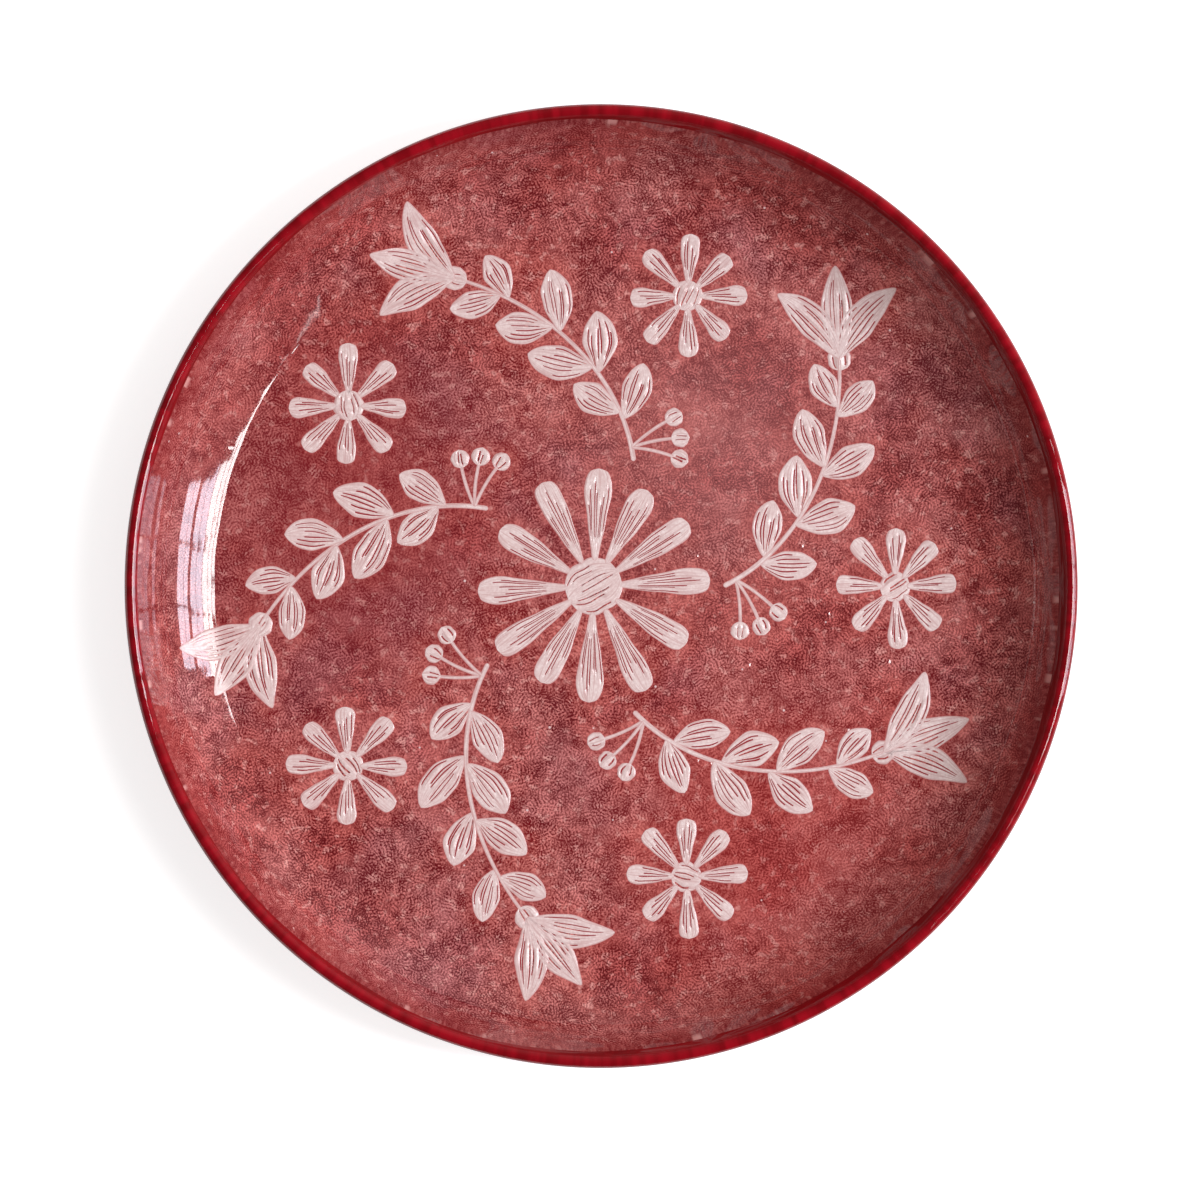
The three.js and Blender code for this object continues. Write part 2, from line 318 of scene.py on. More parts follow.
def crimson_finish(name, thick_height):
    """Crimson glaze, dark where it pooled. Above thick_height it grows thin and lighter."""
    material, tree, shader = new_finish(name, 0.035, 1.45)
    place = add_node(tree, "ShaderNodeTexCoord").outputs["Object"]
    pool = ranged(tree, noise(tree, place, 42, 4), 0.3, 0.7)
    fleck = ranged(tree, noise(tree, place, 620, 2), 0.55, 0.75, 0, 0.3)
    thick = mixed(tree, pool, colour(120, 0, 8), colour(142, 2, 14))
    flecked = mixed(tree, fleck, thick, colour(156, 10, 22))

    # Where it is thin the brush left lighter and darker bars across the band
    outwards = counted_vector(tree, "MULTIPLY", place, (1, 1, 0))
    round_plate = counted_vector(tree, "NORMALIZE", outwards)
    bar = ranged(tree, noise(tree, round_plate, 34, 3), 0.36, 0.64)
    brushed = mixed(tree, bar, colour(128, 0, 12), colour(158, 6, 24))
    high = add_node(tree, "ShaderNodeSeparateXYZ", {"Vector": place}).outputs["Z"]
    thin = ranged(tree, high, thick_height, thick_height + thinning_height)
    tree.links.new(mixed(tree, thin, flecked, brushed), shader.inputs["Base Color"])
    wave = noise(tree, place, 90, 1)
    relief = add_node(tree, "ShaderNodeBump", {"Height": wave, "Distance": 0.00012, "Strength": 1})
    tree.links.new(relief.outputs[0], shader.inputs["Normal"])
    return material


for piece, node, finish in (
    (back, "back_glaze", "crimson_back_glaze"), (base, "base_glaze", "crimson_base_glaze")
):
    piece.data.materials.append(crimson_finish(finish, plate_height))
    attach(piece, "root")
    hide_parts(node)


# Glaze on the eating face
# A mottled red glaze fills the inside from the middle up to the band. It lies round the slip,
# which stands out of it a little, and it broke into fine worm-like strands as it cooled. Its
# surface is glassy and a little wavy.
face_segments = 512

# The least that anything is divided by
tiny = 1e-9

face_profile = np.vstack([below(face_skin, 0), below(face_skin[::8], face_coat)[::-1]])
face = turn_on_wheel("mottled_face_glaze", face_profile, face_segments)
face_reach = along(face_skin)


def read_places(piece):
    places = np.empty(3 * len(piece.data.vertices))
    piece.data.vertices.foreach_get("co", places)
    return places.reshape(-1, 3)


def write_measure(piece, name, values):
    """Stores one number for each vertex, for the finish to read."""
    measure = piece.data.attributes.new(name, "FLOAT", "POINT")
    measure.data.foreach_set("value", values.astype(np.float32))


def write_map(piece, name, flat):
    """Lays a flat map over a piece, from a place on it for each vertex."""
    corners = np.empty(len(piece.data.loops), dtype=np.int64)
    piece.data.loops.foreach_get("vertex_index", corners)
    sheet = piece.data.uv_layers.new(name=name)
    sheet.data.foreach_set("uv", flat[corners].astype(np.float32).ravel())


# The face is mapped as if it were rolled out flat from the middle, so that the pattern keeps
# its size up the wall. The map is in metres.
face_places = read_places(face)
face_radii = np.hypot(face_places[:, 0], face_places[:, 1])
rolled_out = np.interp(face_radii, face_skin[:, 0], face_reach)
stretch = rolled_out / np.maximum(face_radii, tiny)
write_map(face, "rolled_out", face_places[:, :2] * stretch[:, None])
write_measure(face, "from_lip", face_reach[-1] - rolled_out)


# Rim band
# A band of thick crimson glaze was brushed round the lip over the edge of the face glaze. The
# hand strayed, so the band reaches further down the inside on one side than on the other.
# Its lower edge is a low round step.
band_segments = 720
band_coat = 0.0006
band_depth = 0.0022
band_lean = 0.0011
band_lean_angle = -0.4
band_least_depth = 0.0003
band_raise = 0.00004
step_width = 0.0006
brushed_height = 0.0016

inside_lip = cut_skin(face_skin, face_reach[-1] - band_depth, math.inf)

# The band rises out of the face glaze at its edge, and the rise is gone a fifth of the way
# round the lip
tucked = np.minimum(along(inside_lip) / step_width, 1)
inside_raise = -band_raise + 2 * band_raise * np.sqrt(tucked)
lip_turn = np.linspace(0, 1, len(lip))
lip_raise = band_raise * np.clip(1 - 5 * lip_turn, 0, 1)
outside_lip = cut_skin(back_skin, 0, band_depth_outside)
band_profile = np.vstack([
    below(inside_lip, -inside_raise),
    below(lip[1:], -lip_raise[1:]),
    below(outside_lip[1:], 0),
    below(outside_lip[1:], band_coat)[::-1],
    below(lip, band_coat)[::-1],
    below(inside_lip, band_coat)[-2::-1],
])
band = turn_on_wheel("crimson_rim_band", band_profile, band_segments)


def band_edge(angle):
    """How far down the inside the band reaches, with the wander of the brush."""
    wander = (
        0.00040 * np.cos(2 * angle + 2.6)
        + 0.00034 * np.sin(5 * angle + 1.1)
        + 0.00034 * np.sin(9 * angle + 2.3)
        + 0.00022 * np.sin(14 * angle + 0.6)
        + 0.00010 * np.sin(31 * angle + 4.0)
        + 0.00005 * np.sin(53 * angle + 2.0)
    )
    depth = band_depth + band_lean * np.cos(angle - band_lean_angle) + wander
    return np.maximum(depth, band_least_depth)


band_places = read_places(band)
band_angles = np.arctan2(band_places[:, 1], band_places[:, 0])
band_radii = np.hypot(band_places[:, 0], band_places[:, 1])
down_wall = (cove[-1, :2] - lip[0, :2]) / np.linalg.norm(cove[-1, :2] - lip[0, :2])
off_lip = np.column_stack([band_radii, band_places[:, 2]]) - lip[0, :2]
depth_down = off_lip @ down_wall
on_inside = (depth_down > 0) & (off_lip @ [down_wall[1], -down_wall[0]] > -lip_radius)
moved = np.where(on_inside, depth_down * (band_edge(band_angles) / band_depth - 1), 0)
band_radii = band_radii + moved * down_wall[0]
band_places[:, 0] = band_radii * np.cos(band_angles)
band_places[:, 1] = band_radii * np.sin(band_angles)
band_places[:, 2] += moved * down_wall[1]
band.data.vertices.foreach_set("co", band_places.ravel())
band.data.materials.append(crimson_finish("crimson_band_glaze", plate_height - brushed_height))
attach(band, "root")
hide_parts("rim_band")

# The face remembers how far each point lies from the band's edge
face_angles = np.arctan2(face_places[:, 1], face_places[:, 0])
write_measure(face, "from_band", face_reach[-1] - rolled_out - band_edge(face_angles))


# Rosette
# White slip, painted as a flower in the middle of the well. Each petal is one loaded stroke,
# low and round at its edges, and thin lines were scratched along it before it dried. The red
# glaze shows in them.
slip_thickness = 0.00004
slip_sunk = 0.00003
slip_bed = 0.00028
stroke_overlap = 0.001
stem_width = 0.0015
scratch_width = 0.00050
scratch_fade = 0.06
narrowest_strip = 0.00016
strip_margin = 0.0001
layer_rise = 0.000008
least_rows = 10
row_step = 0.0006
tip_length = 0.0009
thin_tip_width = 0.0002
map_shift = 0.05
seam_distance = 2e-7
stroke_crease_angle = math.radians(30)
rosette_disc_diameter = 0.0164
rosette_petals = 12
rosette_petal_length = 0.024
rosette_petal_width = 0.011
rosette_scratches = 7
length_drift = 0.05
angle_drift = 0.06


def polar(radius, angle):
    return np.stack([radius * np.cos(angle), radius * np.sin(angle)], axis=-1)


def arc_line(start, heading, length, bend=0.0):
    """The middle line of a stroke: place and heading at each share t of its length."""
    def line(t):
        half_turn = bend * t / 2
        chord = length * t * np.sinc(half_turn / math.pi)
        return start + polar(chord, heading + half_turn), heading + bend * t
    return line


def disc_line(centre, diameter, heading=0.0):
    return arc_line(centre - polar(diameter / 2, heading), heading, diameter)


def disc_rule(diameter):
    return lambda t: diameter / 2 * np.sqrt(np.maximum(4 * t * (1 - t), 0))


def petal_rule(width):
    return lambda t: stem_width / 2 + (width - stem_width) / 2 * t * np.sqrt(1 - t**5)


def stray(seed):
    """The hand's error, the same each time for one seed."""
    return np.sin(7.3 * seed)


def stray_length(length, seed):
    return length * (1 + length_drift * stray(seed))


def stray_angle(angle, seed):
    return angle + angle_drift * stray(seed)


def lay_on_face(flat, height):
    """Places seen from above, lifted off the eating face by a height square to it."""
    radii = np.hypot(flat[..., 0], flat[..., 1])
    lean = np.arcsin(np.clip((radii - well_radius) / cove_radius, 0, math.sin(wall_slope)))
    level = np.interp(radii, face_skin[:, 0], face_skin[:, 1])
    inwards = 1 - height * np.sin(lean) / np.maximum(radii, tiny)
    return np.concatenate(
        [flat * inwards[..., None], (level + height * np.cos(lean))[..., None]], axis=-1
    )


# Both edges of every stroke, row by row: a place and the direction that points away from the
# stroke there
stroke_edges = []


def scratched_section(t, half, scratches, seed):
    """The section of a stroke in each of its rows: how far each column lies across it, from -1
    at one edge to 1 at the other, and how high. The underside comes last.

    The scratches share out the width, and none starts in a narrow neck. Each strays a little to
    the side and is cut short by its own amount."""
    share = np.arange(1, scratches + 1)
    wander = 0.22 * stray(seed + 3 * share) + 0.10 * np.sin(5 * t + seed + 2 * share)
    middle = -1 + 2 * (share + wander) / (scratches + 1)
    strip = half / (scratches + 1)
    start = 0.16 + 0.12 * stray(seed + 5 * share)
    end = 0.82 + 0.12 * stray(seed + 11 * share) - 0.12 * np.abs(middle)
    open_share = np.clip(np.minimum(t - start, end - t) / scratch_fade, 0, 1)
    open_share = open_share * np.clip((strip - narrowest_strip) / strip_margin, 0, 1)
    own_width = 0.85 + 0.25 * stray(seed + 13 * share) + 0.7 * stray(seed + 9 * share) ** 4
    groove = np.minimum(scratch_width / 2 * own_width, 0.42 * strip)
    crown = np.minimum(slip_thickness, 0.4 * half)

    def dome(across):
        return crown * np.sqrt(np.maximum(1 - np.abs(across) ** 6, 0))

    zero = np.zeros_like(t)
    columns = [(zero - 1, zero - slip_sunk), (zero - 0.95, 0.7 * dome(zero))]
    lines = np.hstack([zero - 1, zero + middle, zero + 1])
    for i in range(scratches + 1):
        crest = (lines[:, i:i + 1] + lines[:, i + 1:i + 2]) / 2
        columns.append((crest, dome(crest)))
        if i == scratches:
            break
        for side, bottom in ((-1, False), (-0.55, True), (0.55, True), (1, False)):
            across = middle[:, i:i + 1] + side * groove[:, i:i + 1] / np.maximum(half, tiny)
            height = dome(across)
            if bottom:
                height = height + (-slip_sunk - height) * open_share[:, i:i + 1]
            columns.append((across, height))
    columns += [(zero + 0.95, 0.7 * dome(zero)), (zero + 1, zero - slip_sunk)]
    columns += [(zero + across, zero - slip_bed) for across in (0.8, 0, -0.8)]
    columns.append((zero - 1, zero - slip_sunk))
    across = np.hstack([column[0] for column in columns])
    height = np.hstack([column[1] for column in columns])
    return across, -slip_sunk + (height + slip_sunk) * np.clip(half / thin_tip_width, 0, 1)


def paint_stroke(line, rule, scratches, seed):
    """One stroke of slip as a closed grid bent round its middle line."""
    coarse, _ = line(np.linspace(0, 1, 9))
    length = np.linalg.norm(np.diff(coarse, axis=0), axis=1).sum()
    rows = least_rows + round(length / row_step)
    t = ((1 - np.cos(math.pi * np.linspace(0, 1, rows))) / 2)[:, None]
    at, heading = line(t[:, 0])
    tip = np.clip(np.minimum(t, 1 - t) * length / tip_length, 0, 1)
    shake = 1 + 0.035 * np.sin(7 * t + seed) + 0.025 * np.sin(17 * t + 2.7 * seed)
    half = rule(t) * shake * np.sqrt(1 - (1 - tip) ** 2)
    across, height = scratched_section(t, half, scratches, seed)
    height = height + layer_rise * (1 + stray(3 * seed + 400 * length))

    bpy.ops.object.select_all(action="DESELECT")
    bpy.ops.mesh.primitive_grid_add(
        x_subdivisions=across.shape[1] - 1, y_subdivisions=rows - 1, size=1
    )
    piece = bpy.context.object
    grid = read_places(piece)
    column = np.rint((grid[:, 0] + 0.5) * (across.shape[1] - 1)).astype(int)
    row = np.rint((grid[:, 1] + 0.5) * (rows - 1)).astype(int)
    flat = at[row] + polar(1, heading[row] + math.pi / 2) * (across * half)[row, column][:, None]
    places = lay_on_face(flat, height[row, column])
    piece.data.vertices.foreach_set("co", places.ravel())
    write_map(piece, "stroke", np.column_stack([
        t[row, 0] * length + map_shift * seed, across[row, column] * half.max()
    ]))
    write_measure(piece, "from_edge", (half * (1 - np.abs(across)))[row, column])

    sideways = polar(1, heading + math.pi / 2) * half
    for side, turned in ((1, -1), (-1, 1)):
        edge = at + side * sideways
        run = np.gradient(edge, axis=0)
        square = turned * np.column_stack([run[:, 1], -run[:, 0]])
        square /= np.maximum(np.linalg.norm(square, axis=1), tiny)[:, None]
        stroke_edges.append(np.hstack([edge, square]))
    return piece


def flower_strokes(centre, disc_diameter, petals, petal_length, petal_width, scratches, seed):
    """A ring of petals round a disc."""
    strokes = []
    for i in range(petals):
        angle = stray_angle(2 * math.pi * i / petals, seed + i)
        root = polar(disc_diameter / 2 - stroke_overlap, angle) + centre
        length = stray_length(petal_length + stroke_overlap, seed + 2 * i)
        line = arc_line(root, angle, length)
        strokes.append(paint_stroke(line, petal_rule(petal_width), scratches, seed + 17 * i))
    disc = disc_line(centre, disc_diameter, 0.5 * seed)
    strokes.append(paint_stroke(disc, disc_rule(disc_diameter), scratches, seed))
    return strokes


def join_strokes(strokes, name):
    """Makes one piece of the strokes of a motif, and closes their seams and tips."""
    bpy.ops.object.select_all(action="DESELECT")
    for stroke in strokes:
        stroke.select_set(True)
    bpy.context.view_layer.objects.active = strokes[0]
    bpy.ops.object.join()
    piece = bpy.context.object
    piece.name = name
    bpy.ops.object.mode_set(mode="EDIT")
    bpy.ops.mesh.select_all(action="SELECT")
    bpy.ops.mesh.remove_doubles(threshold=seam_distance)
    bpy.ops.mesh.normals_make_consistent(inside=False)
    bpy.ops.object.mode_set(mode="OBJECT")
    bpy.ops.object.shade_smooth_by_angle(angle=stroke_crease_angle)
    return piece


white_slip, tree, shader = new_finish("white_slip", 0.22)
stroke_map = add_node(tree, "ShaderNodeUVMap", uv_map="stroke").outputs["UV"]
place = add_node(tree, "ShaderNodeTexCoord").outputs["Object"]

# Chalky streaks run along each stroke, with finer grit, faint clouds and a few red specks
drawn_out = counted_vector(tree, "MULTIPLY", stroke_map, (110, 1900, 1))
streak = ranged(tree, noise(tree, drawn_out, 1, 3), 0.34, 0.56)
chalky = mixed(tree, streak, colour(214, 176, 171), colour(240, 218, 212))
grit = ranged(tree, noise(tree, place, 1500, 2), 0.38, 0.62, 0.30, 0)
gritty = mixed(tree, grit, chalky, colour(202, 156, 151))
cloud = ranged(tree, noise(tree, place, 260, 3), 0.35, 0.6, 0.35, 0)
clouded = mixed(tree, cloud, gritty, colour(214, 176, 171))
speck = spots(tree, place, 420, low=0.5, high=1.0, reach=0.10, soft=0.04)
pricked = mixed(tree, counted(tree, "MULTIPLY", speck, 0.6), clouded, colour(150, 70, 70))

# The slip is thin at its edges, and the red shows through
from_edge = add_node(tree, "ShaderNodeAttribute", attribute_name="from_edge").outputs["Fac"]
thin_edge = ranged(tree, from_edge, 0, 0.0006, 0.7, 0)
tree.links.new(mixed(tree, thin_edge, pricked, colour(204, 136, 132)), shader.inputs["Base Color"])

plate_middle = np.zeros(2)
petals_and_disc = flower_strokes(
    plate_middle, rosette_disc_diameter, rosette_petals, rosette_petal_length,
    rosette_petal_width, rosette_scratches, seed=1,
)
rosette = join_strokes(petals_and_disc, "rosette_strokes")
rosette.data.materials.append(white_slip)
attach(rosette, "root")
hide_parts("rosette_slip")


# Sprigs
# Five sprigs of the same slip swirl from the rosette to the foot of the wall. Each was
# painted stem first, then its pairs of leaves, the tulip at its end and the berries at its
# foot, and the leaves and petals were scratched through.
sprig_count = 5
swirl_share = 0.59
rosette_clearance = 0.0048
stem_inset = 0.011
stem_taper = 0.3
leaf_pairs = 4
leaf_length = 0.019
leaf_width = 0.0095
leaf_angle = 0.84
leaf_bend = 0.35
first_leaf_place = 0.2
last_leaf_place = 0.83
longest_leaf_place = 0.45
leaf_shrink = 0.6
leaf_stagger = 0.015
leaf_scratches = 6
calyx_diameter = 0.007
tulip_length = 0.025
tulip_width = 0.0085
tulip_angle = 0.42
tulip_bend = 0.6
tulip_scratches = 6
berries_per_spray = 3
berry_diameter = 0.0054
berry_stalk_length = 0.013
berry_place = 0.06
berry_angle = 1
berry_fan = 0.42
berry_bend = 0.3
small_disc_scratches = 2
seed_step = 20

pitch = 2 * math.pi / sprig_count
swirl = swirl_share * pitch
stem_start = rosette_disc_diameter / 2 + rosette_petal_length + rosette_clearance
stem_reach = well_radius - stem_inset - stem_start


def stem_line(start_angle):
    """Along a stem the angle about the plate grows with the distance from its middle."""
    def line(t):
        radius = stem_start + stem_reach * t
        angle = start_angle + swirl * t
        return polar(radius, angle), angle + np.arctan2(radius * swirl, stem_reach)
    return line


def stem_rule(t):
    return stem_width / 2 * (1 - stem_taper * t)


def stalk_rule(t):
    return stem_width / 3 + 0 * t


def leaf_rule(width):
    return lambda t: stem_width / 4 + width / 2 * np.abs(np.sin(math.pi * t**1.2)) ** 0.8


def tulip_rule(width):
    return lambda t: stem_width / 3 + width / 2 * np.sin(math.pi * t)


def leaf_strokes(stem, seed):
    strokes = []
    for pair in range(leaf_pairs):
        place = first_leaf_place + (last_leaf_place - first_leaf_place) * pair / (leaf_pairs - 1)
        size = 1 - leaf_shrink * abs(place - longest_leaf_place)
        for side in (-1, 1):
            at, heading = stem(place + leaf_stagger * side)
            own = seed + 3 * pair + side
            aim = heading + side * stray_angle(leaf_angle, own)
            line = arc_line(at, aim, stray_length(leaf_length * size, own), -leaf_bend * side)
            strokes.append(paint_stroke(line, leaf_rule(leaf_width * size), leaf_scratches, own))
    return strokes


def tulip_strokes(stem, seed):
    at, heading = stem(1)
    strokes = []
    for side in (-1, 1, 0):
        length = stray_length(tulip_length, seed + side)
        line = arc_line(at, heading + side * tulip_angle, length, tulip_bend * side)
        strokes.append(paint_stroke(line, tulip_rule(tulip_width), tulip_scratches, seed + side))
    calyx = disc_line(at, calyx_diameter, heading)
    strokes.append(paint_stroke(calyx, disc_rule(calyx_diameter), small_disc_scratches, seed))
    return strokes


def berry_strokes(stem, seed):
    at, heading = stem(berry_place)
    strokes = []
    for i in range(berries_per_spray):
        length = stray_length(berry_stalk_length, seed + i)
        stalk = arc_line(at, heading - berry_angle - berry_fan * i, length, -berry_bend)
        tip, tip_heading = stalk(1 - stroke_overlap / length)
        berry = arc_line(tip, tip_heading, berry_diameter)
        round_rule = disc_rule(berry_diameter)
        strokes.append(paint_stroke(stalk, stalk_rule, 0, seed + i))
        strokes.append(paint_stroke(berry, round_rule, small_disc_scratches, seed + i))
    return strokes


for i in range(sprig_count):
    seed = seed_step * (i + 1)
    stem = stem_line(pitch * i)
    strokes = [paint_stroke(stem, stem_rule, 0, seed)]
    strokes += leaf_strokes(stem, seed) + tulip_strokes(stem, seed) + berry_strokes(stem, seed)
    sprig = join_strokes(strokes, f"sprig_strokes_{i + 1}")
    sprig.data.materials.append(white_slip)
    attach(sprig, "root")
    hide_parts(f"sprig_slip_{i + 1}")


# Daisies
# Five small flowers of the same slip fill the spaces between the sprigs, each midway between
# two stems.
daisy_inset = 0.020
daisy_disc_diameter = 0.0088
daisy_petals = 8
daisy_petal_length = 0.0126
daisy_petal_width = 0.008
daisy_scratches = 4

daisy_radius = well_radius - daisy_inset
stem_turn_at_daisy = swirl * (daisy_radius - stem_start) / stem_reach
for i in range(sprig_count):
    centre = polar(daisy_radius, pitch * (i - 0.5) + stem_turn_at_daisy)
    strokes = flower_strokes(
        centre, daisy_disc_diameter, daisy_petals, daisy_petal_length, daisy_petal_width,
        daisy_scratches, seed_step * (i + 1),
    )
    daisy = join_strokes(strokes, f"daisy_strokes_{i + 1}")
    daisy.data.materials.append(white_slip)
    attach(daisy, "root")
    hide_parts(f"daisy_slip_{i + 1}")


# Finish of the eating face
# Fine pink strands lie on deep red, greyer in some parts and coral in others. Beside each
# stroke of slip they run square to it, and beside the band they run down the wall, where
# painted shade makes the colour redder and darker.
slip_edges = np.vstack(stroke_edges)
slip_tree = KDTree(len(slip_edges))
for i, (x, y) in enumerate(slip_edges[:, :2]):
    slip_tree.insert((x, y, 0), i)
slip_tree.balance()
found = [slip_tree.find((x, y, 0)) for x, y in face_places[:, :2]]
nearest_edge = slip_edges[[mark for _, mark, _ in found]]
apart = np.array([gap for _, _, gap in found])
outside = np.einsum("ij,ij->i", face_places[:, :2] - nearest_edge[:, :2], nearest_edge[:, 2:]) > 0
write_measure(face, "from_slip", np.where(outside, apart, -apart))
slip_place = np.column_stack([nearest_edge[:, :2], np.zeros(len(face_places))])
nearest = face.data.attributes.new("nearest_slip", "FLOAT_VECTOR", "POINT")
nearest.data.foreach_set("vector", slip_place.astype(np.float32).ravel())

mottled, tree, shader = new_finish("mottled_red_glaze", 0.04, 1.55)
rolled = add_node(tree, "ShaderNodeUVMap", uv_map="rolled_out").outputs["UV"]


def stretched(vector, factor):
    return counted_vector(tree, "MULTIPLY", vector, (factor, factor, factor))


def joined(first, second):
    return counted_vector(tree, "ADD", first, second)


def glaze_noise(scale, detail, shift=0.0, coloured=False):
    moved = joined(rolled, (shift, shift, shift))
    return noise(tree, moved, scale, detail, coloured, Roughness=0.6)


def measured(name):
    return add_node(tree, "ShaderNodeAttribute", attribute_name=name).outputs["Fac"]


def worms(scale, frequency):
    """Short bent strands, about 1 / (scale * frequency) metres apart, broken here and there."""
    inputs = {"Vector": warped, "Scale": scale, "Frequency": frequency, "Anisotropy": 0}
    pattern = add_node(tree, "ShaderNodeTexGabor", inputs, gabor_type="2D")
    broken = ranged(tree, glaze_noise(1.1 * scale, 1, 5.1), 0.34, 0.66, -0.09, 0.06)
    return ranged(tree, counted(tree, "ADD", pattern.outputs["Value"], broken), 0.39, 0.67)


def strands_from(base, distance, scale):
    """Strands that start along a line, whose places are base, and run away from it."""
    slow = counted(tree, "MULTIPLY", distance, 0.24)
    away = add_node(tree, "ShaderNodeCombineXYZ", {"Z": slow}).outputs[0]
    return ranged(tree, noise(tree, joined(base, away), scale, 2), 0.38, 0.68)


# How far each point lies from the slip, the band and the lip
slip_gap = measured("from_slip")
band_gap = measured("from_band")
lip_gap = measured("from_lip")

# Strands lie at two sizes and fade in some spots
warp = joined(glaze_noise(210, 2, coloured=True), (-0.5, -0.5, -0.5))
warped = joined(rolled, stretched(warp, 0.0015))
strand = mixed(tree, 0.42, worms(350, 3.0), worms(620, 2.6))
faded = ranged(tree, glaze_noise(80, 2, 7.7), 0.44, 0.70, 0, 0.35)
strand = mixed(tree, faded, strand, (0.40, 0.40, 0.40, 1))

# Beside slip and band the strands run square to the edge
at_slip = add_node(tree, "ShaderNodeAttribute", attribute_name="nearest_slip").outputs["Vector"]
beside_slip = ranged(tree, slip_gap, 0.0004, 0.0028, 0.5, 0)
strand = mixed(tree, beside_slip, strand, strands_from(at_slip, slip_gap, 1250))
round_rim = stretched(counted_vector(tree, "NORMALIZE", rolled), plate_radius)
beside_band = ranged(tree, band_gap, 0.0005, 0.0050, 0.5, 0)
strand = mixed(tree, beside_band, strand, strands_from(round_rim, lip_gap, 1150))

# A slow flow in the glaze bunches the strands into lighter and darker streaks
flow = noise(tree, rolled, 62, 4, Roughness=0.66, Distortion=1.1)
strand = counted(tree, "ADD", strand, ranged(tree, flow, 0.32, 0.68, -0.17, 0.15))

# The colour drifts between deep red, a greyer red and coral, which gathers round the slip
cloud = ranged(tree, glaze_noise(36, 2, 3.3), 0.32, 0.68)
grey_part = ranged(tree, glaze_noise(24, 3, 0.31), 0.46, 0.68, 0, 0.55)
coral_drift = ranged(tree, glaze_noise(30, 3, 1.7), 0.48, 0.70, 0, 0.42)
coral_round_slip = ranged(tree, slip_gap, 0.0004, 0.0060, 0.4, 0)
coral_part = counted(tree, "ADD", coral_drift, coral_round_slip)
deep = mixed(tree, cloud, colour(98, 8, 16), colour(108, 18, 26))
crest = mixed(tree, cloud, colour(218, 106, 100), colour(232, 142, 135))
deep = mixed(tree, grey_part, deep, colour(98, 24, 36))
crest = mixed(tree, grey_part, crest, colour(212, 138, 140))
deep = mixed(tree, coral_part, deep, colour(132, 20, 24))
crest = mixed(tree, coral_part, crest, colour(236, 134, 122))
glazed = mixed(tree, strand, deep, crest)

# A few strands carry a painted glint, a highlight in a lighter colour
glint = ranged(tree, glaze_noise(360, 1, 4.4), 0.56, 0.68, 0, 0.8)
glazed = mixed(tree, counted(tree, "MULTIPLY", glint, strand), glazed, colour(240, 172, 162))

# One broad part of the well is deeper, one is paler and one is more coral. Each is strongest
# out to its near distance and has gone at its far distance.
for x, y, near, far, strongest, tone in (
    (-0.072, 0.022, 0.012, 0.075, 0.5, colour(138, 34, 40)),
    (0.036, 0.040, 0, 0.07, 0.3, colour(192, 126, 124)),
    (0.052, -0.070, 0.01, 0.07, 0.3, colour(178, 54, 50)),
):
    off = add_node(tree, "ShaderNodeVectorMath", {0: rolled, 1: (x, y, 0)}, operation="DISTANCE")
    glazed = mixed(tree, ranged(tree, off.outputs["Value"], near, far, strongest, 0), glazed, tone)

# Painted shade: the colour is deeper and redder all the way up the wall, and darker red beside the
# band
painted_wall_shade = ranged(tree, lip_gap, 0.003, 0.026, 0.28, 0)
glazed = mixed(tree, painted_wall_shade, glazed, colour(156, 36, 38))
by_the_band = ranged(tree, band_gap, 0, 0.0075, 0.34, 0)
glazed = mixed(tree, by_the_band, glazed, colour(118, 18, 26))

# Pinholes show dark clay, and tiny light dots are painted highlights that sparkle on the glaze
pinhole = spots(tree, rolled, 400, low=0.35, high=1.0, reach=0.10, soft=0.03)
glazed = mixed(tree, counted(tree, "MULTIPLY", pinhole, 0.7), glazed, colour(70, 12, 20))
painted_sparkle = spots(tree, rolled, 165, low=0.55, high=0.95, reach=0.065, soft=0.012)
glazed = mixed(tree, counted(tree, "MULTIPLY", painted_sparkle, 0.85), glazed, colour(240, 206, 202))

# Red bleeds out of the glaze at the very edge of each stroke, and lies in the scratches
fringe = ranged(tree, slip_gap, 0.0001, 0.0008, 0.35, 0)
glazed = mixed(tree, fringe, glazed, colour(184, 84, 80))
in_scratch = ranged(tree, slip_gap, -0.0004, 0, 1, 0)
glazed = mixed(tree, in_scratch, glazed, colour(160, 50, 55))

# Here and there the glaze is rubbed thin in a short pale tick at the band's edge
tick = ranged(tree, noise(tree, round_rim, 160, 1), 0.63, 0.69)
tick_run = ranged(tree, band_gap, 0.0008, 0.0032, 0.75, 0)
glazed = mixed(tree, counted(tree, "MULTIPLY", tick, tick_run), glazed, colour(232, 168, 160))
tree.links.new(glazed, shader.inputs["Base Color"])

# The surface is a little wavy, with shallow dimples here and there
dimple = add_node(tree, "ShaderNodeTexVoronoi", {"Vector": rolled, "Scale": 95})
hollow = ranged(tree, dimple.outputs["Distance"], 0.02, 0.13, -0.26, 0)
height = counted(tree, "ADD", glaze_noise(80, 1, 2.3), hollow)
relief = add_node(tree, "ShaderNodeBump", {"Height": height, "Distance": 0.00009, "Strength": 1})
tree.links.new(relief.outputs[0], shader.inputs["Normal"])
face.data.materials.append(mottled)
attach(face, "root")
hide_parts("face_glaze")


# Studio
# A white floor, a plain room that is brighter on the side of the window, and one tall window
# with panes on the +X side, whose reflection lies in the cove across from it.
floor_size = 6
floor_drop = 0.0001
floor_glow = 0.72
paper_white = (0.86, 0.86, 0.86, 1)
pure_white = (1, 1, 1, 1)
black = (0, 0, 0, 1)

bpy.ops.object.select_all(action="DESELECT")
bpy.ops.mesh.primitive_plane_add(size=floor_size, location=(0, 0, -floor_drop))
floor = bpy.context.object
floor.name = "studio_floor"
paper, tree, shader = new_finish("white_paper", 0.9)
shader.inputs["Base Color"].default_value = paper_white


